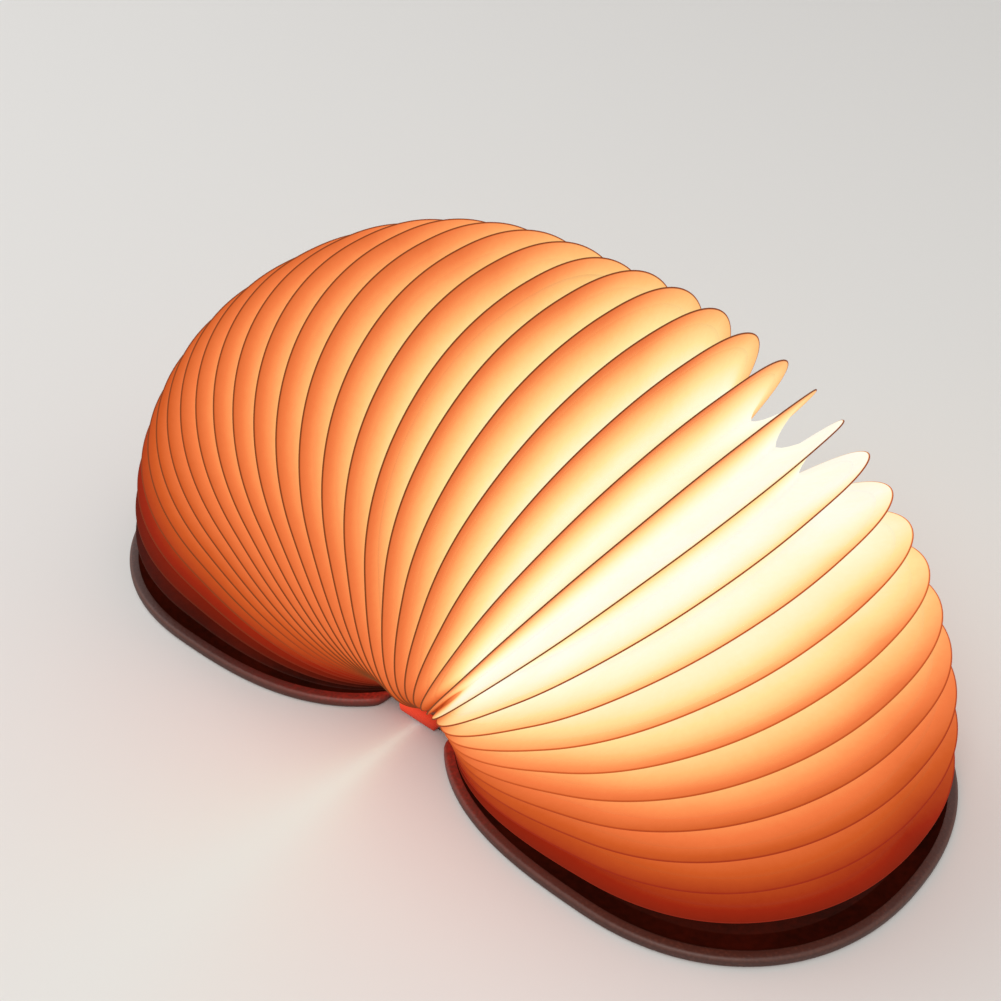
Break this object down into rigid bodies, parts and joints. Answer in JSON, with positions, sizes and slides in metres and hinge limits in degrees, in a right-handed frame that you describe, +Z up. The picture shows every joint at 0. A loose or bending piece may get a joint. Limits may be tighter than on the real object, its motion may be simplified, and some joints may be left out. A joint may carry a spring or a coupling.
{
  "type": "folding book lamp",
  "caption": "Folding book lamp: round-sided hinged covers open flat on a table and spread a half fan of glowing pleated paper pages from a lit spine core.",
  "frame": {"origin": "on the table under the middle of the spine, bottom centre of the opened lamp", "axes": "+X towards the right cover, +Y along the spine towards the charging socket, +Z up"},
  "size_m": [0.29, 0.138, 0.134],
  "materials": {
    "paper": "matte translucent pleated paper",
    "cover_skin": "dark red-brown grained wrap",
    "cover_board": "grey-brown binder's board",
    "lining": "matte lining sheet",
    "hinge_cloth": "dark woven hinge cloth",
    "end_band": "rolled red-brown cloth band",
    "magnet": "nickel plated disc magnet",
    "tray": "white moulded plastic",
    "screw": "small pan head screw",
    "battery_wrap": "shrink wrapped lithium cell",
    "lead": "insulated lead",
    "circuit_board": "green solder mask",
    "led_board": "white solder mask",
    "led_chip": "yellow phosphor light-emitting chip",
    "socket_metal": "stamped steel socket shell",
    "sensor": "black moulded sensor case",
    "diffuser": "milky plastic dome"
  },
  "bodies": {
    "spine": {"spine_skin": "cover_skin", "spine_board": "cover_board", "near_end_band": "end_band", "far_end_band": "end_band", "core_tray": "tray", "tray_screws": "screw", "battery": "battery_wrap", "battery_leads": "lead", "charge_board": "circuit_board", "charge_socket": "socket_metal", "cover_sensor": "sensor", "led_board": "led_board", "led_chips": "led_chip", "core_diffuser": "diffuser", "right_hinge_cloth": "hinge_cloth", "left_hinge_cloth": "hinge_cloth", "right_paper_bellows": "paper", "left_paper_bellows": "paper", "page_rim_17": "paper"},
    "right_cover": {"right_cover_skin": "cover_skin", "right_cover_board": "cover_board", "right_lining": "lining", "right_closing_magnets": "magnet"},
    "left_cover": {"left_cover_skin": "cover_skin", "left_cover_board": "cover_board", "left_lining": "lining", "left_closing_magnets": "magnet", "left_switch_magnet": "magnet"},
    "page_01": {"page_rim_01": "paper"},
    "page_02": {"page_rim_02": "paper"},
    "page_03": {"page_rim_03": "paper"},
    "page_04": {"page_rim_04": "paper"},
    "page_05": {"page_rim_05": "paper"},
    "page_06": {"page_rim_06": "paper"},
    "page_07": {"page_rim_07": "paper"},
    "page_08": {"page_rim_08": "paper"},
    "page_09": {"page_rim_09": "paper"},
    "page_10": {"page_rim_10": "paper"},
    "page_11": {"page_rim_11": "paper"},
    "page_12": {"page_rim_12": "paper"},
    "page_13": {"page_rim_13": "paper"},
    "page_14": {"page_rim_14": "paper"},
    "page_15": {"page_rim_15": "paper"},
    "page_16": {"page_rim_16": "paper"},
    "page_18": {"page_rim_18": "paper"},
    "page_19": {"page_rim_19": "paper"},
    "page_20": {"page_rim_20": "paper"},
    "page_21": {"page_rim_21": "paper"},
    "page_22": {"page_rim_22": "paper"},
    "page_23": {"page_rim_23": "paper"},
    "page_24": {"page_rim_24": "paper"},
    "page_25": {"page_rim_25": "paper"},
    "page_26": {"page_rim_26": "paper"},
    "page_27": {"page_rim_27": "paper"},
    "page_28": {"page_rim_28": "paper"},
    "page_29": {"page_rim_29": "paper"},
    "page_30": {"page_rim_30": "paper"},
    "page_31": {"page_rim_31": "paper"},
    "page_32": {"page_rim_32": "paper"},
    "page_33": {"page_rim_33": "paper"}
  },
  "joints": [
    {"name": "right_cover_fold", "type": "hinge", "parent": "spine", "child": "right_cover", "pos_m": [0.012, 0, 0.0035], "axis": [0, -1, 0], "range_deg": [-93.4, 90], "deforming": ["right_paper_bellows", "right_hinge_cloth"]},
    {"name": "left_cover_fold", "type": "hinge", "parent": "spine", "child": "left_cover", "pos_m": [-0.012, 0, 0.0035], "axis": [0, 1, 0], "range_deg": [-93.4, 90], "deforming": ["left_paper_bellows", "left_hinge_cloth"]},
    {"name": "page_01_turn", "type": "hinge", "parent": "spine", "child": "page_01", "pos_m": [0.012, 0, 0.0035], "axis": [0, -1, 0], "range_deg": [-88.41, 85.21]},
    {"name": "page_02_turn", "type": "hinge", "parent": "spine", "child": "page_02", "pos_m": [0.012, 0, 0.0035], "axis": [0, -1, 0], "range_deg": [-82.91, 79.91]},
    {"name": "page_03_turn", "type": "hinge", "parent": "spine", "child": "page_03", "pos_m": [0.012, 0, 0.0035], "axis": [0, -1, 0], "range_deg": [-77.42, 74.62]},
    {"name": "page_04_turn", "type": "hinge", "parent": "spine", "child": "page_04", "pos_m": [0.012, 0, 0.0035], "axis": [0, -1, 0], "range_deg": [-71.92, 69.32]},
    {"name": "page_05_turn", "type": "hinge", "parent": "spine", "child": "page_05", "pos_m": [0.012, 0, 0.0035], "axis": [0, -1, 0], "range_deg": [-66.43, 64.03]},
    {"name": "page_06_turn", "type": "hinge", "parent": "spine", "child": "page_06", "pos_m": [0.012, 0, 0.0035], "axis": [0, -1, 0], "range_deg": [-60.94, 58.73]},
    {"name": "page_07_turn", "type": "hinge", "parent": "spine", "child": "page_07", "pos_m": [0.012, 0, 0.0035], "axis": [0, -1, 0], "range_deg": [-55.44, 53.44]},
    {"name": "page_08_turn", "type": "hinge", "parent": "spine", "child": "page_08", "pos_m": [0.012, 0, 0.0035], "axis": [0, -1, 0], "range_deg": [-49.95, 48.15]},
    {"name": "page_09_turn", "type": "hinge", "parent": "spine", "child": "page_09", "pos_m": [0.012, 0, 0.0035], "axis": [0, -1, 0], "range_deg": [-44.45, 42.85]},
    {"name": "page_10_turn", "type": "hinge", "parent": "spine", "child": "page_10", "pos_m": [0.012, 0, 0.0035], "axis": [0, -1, 0], "range_deg": [-38.96, 37.56]},
    {"name": "page_11_turn", "type": "hinge", "parent": "spine", "child": "page_11", "pos_m": [0.012, 0, 0.0035], "axis": [0, -1, 0], "range_deg": [-33.47, 32.27]},
    {"name": "page_12_turn", "type": "hinge", "parent": "spine", "child": "page_12", "pos_m": [0.012, 0, 0.0035], "axis": [0, -1, 0], "range_deg": [-27.97, 26.97]},
    {"name": "page_13_turn", "type": "hinge", "parent": "spine", "child": "page_13", "pos_m": [0.012, 0, 0.0035], "axis": [0, -1, 0], "range_deg": [-22.48, 21.68]},
    {"name": "page_14_turn", "type": "hinge", "parent": "spine", "child": "page_14", "pos_m": [0.012, 0, 0.0035], "axis": [0, -1, 0], "range_deg": [-16.98, 16.38]},
    {"name": "page_15_turn", "type": "hinge", "parent": "spine", "child": "page_15", "pos_m": [0.012, 0, 0.0035], "axis": [0, -1, 0], "range_deg": [-11.49, 11.09]},
    {"name": "page_16_turn", "type": "hinge", "parent": "spine", "child": "page_16", "pos_m": [0.012, 0, 0.0035], "axis": [0, -1, 0], "range_deg": [-5.99, 5.79]},
    {"name": "page_18_turn", "type": "hinge", "parent": "spine", "child": "page_18", "pos_m": [-0.012, 0, 0.0035], "axis": [0, 1, 0], "range_deg": [-5.99, 5.79]},
    {"name": "page_19_turn", "type": "hinge", "parent": "spine", "child": "page_19", "pos_m": [-0.012, 0, 0.0035], "axis": [0, 1, 0], "range_deg": [-11.49, 11.09]},
    {"name": "page_20_turn", "type": "hinge", "parent": "spine", "child": "page_20", "pos_m": [-0.012, 0, 0.0035], "axis": [0, 1, 0], "range_deg": [-16.98, 16.38]},
    {"name": "page_21_turn", "type": "hinge", "parent": "spine", "child": "page_21", "pos_m": [-0.012, 0, 0.0035], "axis": [0, 1, 0], "range_deg": [-22.48, 21.68]},
    {"name": "page_22_turn", "type": "hinge", "parent": "spine", "child": "page_22", "pos_m": [-0.012, 0, 0.0035], "axis": [0, 1, 0], "range_deg": [-27.97, 26.97]},
    {"name": "page_23_turn", "type": "hinge", "parent": "spine", "child": "page_23", "pos_m": [-0.012, 0, 0.0035], "axis": [0, 1, 0], "range_deg": [-33.47, 32.27]},
    {"name": "page_24_turn", "type": "hinge", "parent": "spine", "child": "page_24", "pos_m": [-0.012, 0, 0.0035], "axis": [0, 1, 0], "range_deg": [-38.96, 37.56]},
    {"name": "page_25_turn", "type": "hinge", "parent": "spine", "child": "page_25", "pos_m": [-0.012, 0, 0.0035], "axis": [0, 1, 0], "range_deg": [-44.45, 42.85]},
    {"name": "page_26_turn", "type": "hinge", "parent": "spine", "child": "page_26", "pos_m": [-0.012, 0, 0.0035], "axis": [0, 1, 0], "range_deg": [-49.95, 48.15]},
    {"name": "page_27_turn", "type": "hinge", "parent": "spine", "child": "page_27", "pos_m": [-0.012, 0, 0.0035], "axis": [0, 1, 0], "range_deg": [-55.44, 53.44]},
    {"name": "page_28_turn", "type": "hinge", "parent": "spine", "child": "page_28", "pos_m": [-0.012, 0, 0.0035], "axis": [0, 1, 0], "range_deg": [-60.94, 58.73]},
    {"name": "page_29_turn", "type": "hinge", "parent": "spine", "child": "page_29", "pos_m": [-0.012, 0, 0.0035], "axis": [0, 1, 0], "range_deg": [-66.43, 64.03]},
    {"name": "page_30_turn", "type": "hinge", "parent": "spine", "child": "page_30", "pos_m": [-0.012, 0, 0.0035], "axis": [0, 1, 0], "range_deg": [-71.92, 69.32]},
    {"name": "page_31_turn", "type": "hinge", "parent": "spine", "child": "page_31", "pos_m": [-0.012, 0, 0.0035], "axis": [0, 1, 0], "range_deg": [-77.42, 74.62]},
    {"name": "page_32_turn", "type": "hinge", "parent": "spine", "child": "page_32", "pos_m": [-0.012, 0, 0.0035], "axis": [0, 1, 0], "range_deg": [-82.91, 79.91]},
    {"name": "page_33_turn", "type": "hinge", "parent": "spine", "child": "page_33", "pos_m": [-0.012, 0, 0.0035], "axis": [0, 1, 0], "range_deg": [-88.41, 85.21]}
  ],
  "couplings": [
    {"joint": "page_01_turn", "follows": "right_cover_fold", "ratio": 0.94118},
    {"joint": "page_02_turn", "follows": "right_cover_fold", "ratio": 0.88235},
    {"joint": "page_03_turn", "follows": "right_cover_fold", "ratio": 0.82353},
    {"joint": "page_04_turn", "follows": "right_cover_fold", "ratio": 0.76471},
    {"joint": "page_05_turn", "follows": "right_cover_fold", "ratio": 0.70588},
    {"joint": "page_06_turn", "follows": "right_cover_fold", "ratio": 0.64706},
    {"joint": "page_07_turn", "follows": "right_cover_fold", "ratio": 0.58823},
    {"joint": "page_08_turn", "follows": "right_cover_fold", "ratio": 0.52941},
    {"joint": "page_09_turn", "follows": "right_cover_fold", "ratio": 0.47059},
    {"joint": "page_10_turn", "follows": "right_cover_fold", "ratio": 0.41176},
    {"joint": "page_11_turn", "follows": "right_cover_fold", "ratio": 0.35294},
    {"joint": "page_12_turn", "follows": "right_cover_fold", "ratio": 0.29412},
    {"joint": "page_13_turn", "follows": "right_cover_fold", "ratio": 0.23529},
    {"joint": "page_14_turn", "follows": "right_cover_fold", "ratio": 0.17647},
    {"joint": "page_15_turn", "follows": "right_cover_fold", "ratio": 0.11765},
    {"joint": "page_16_turn", "follows": "right_cover_fold", "ratio": 0.058824},
    {"joint": "page_18_turn", "follows": "left_cover_fold", "ratio": 0.058824},
    {"joint": "page_19_turn", "follows": "left_cover_fold", "ratio": 0.11765},
    {"joint": "page_20_turn", "follows": "left_cover_fold", "ratio": 0.17647},
    {"joint": "page_21_turn", "follows": "left_cover_fold", "ratio": 0.23529},
    {"joint": "page_22_turn", "follows": "left_cover_fold", "ratio": 0.29412},
    {"joint": "page_23_turn", "follows": "left_cover_fold", "ratio": 0.35294},
    {"joint": "page_24_turn", "follows": "left_cover_fold", "ratio": 0.41176},
    {"joint": "page_25_turn", "follows": "left_cover_fold", "ratio": 0.47059},
    {"joint": "page_26_turn", "follows": "left_cover_fold", "ratio": 0.52941},
    {"joint": "page_27_turn", "follows": "left_cover_fold", "ratio": 0.58823},
    {"joint": "page_28_turn", "follows": "left_cover_fold", "ratio": 0.64706},
    {"joint": "page_29_turn", "follows": "left_cover_fold", "ratio": 0.70588},
    {"joint": "page_30_turn", "follows": "left_cover_fold", "ratio": 0.76471},
    {"joint": "page_31_turn", "follows": "left_cover_fold", "ratio": 0.82353},
    {"joint": "page_32_turn", "follows": "left_cover_fold", "ratio": 0.88235},
    {"joint": "page_33_turn", "follows": "left_cover_fold", "ratio": 0.94118}
  ]
}
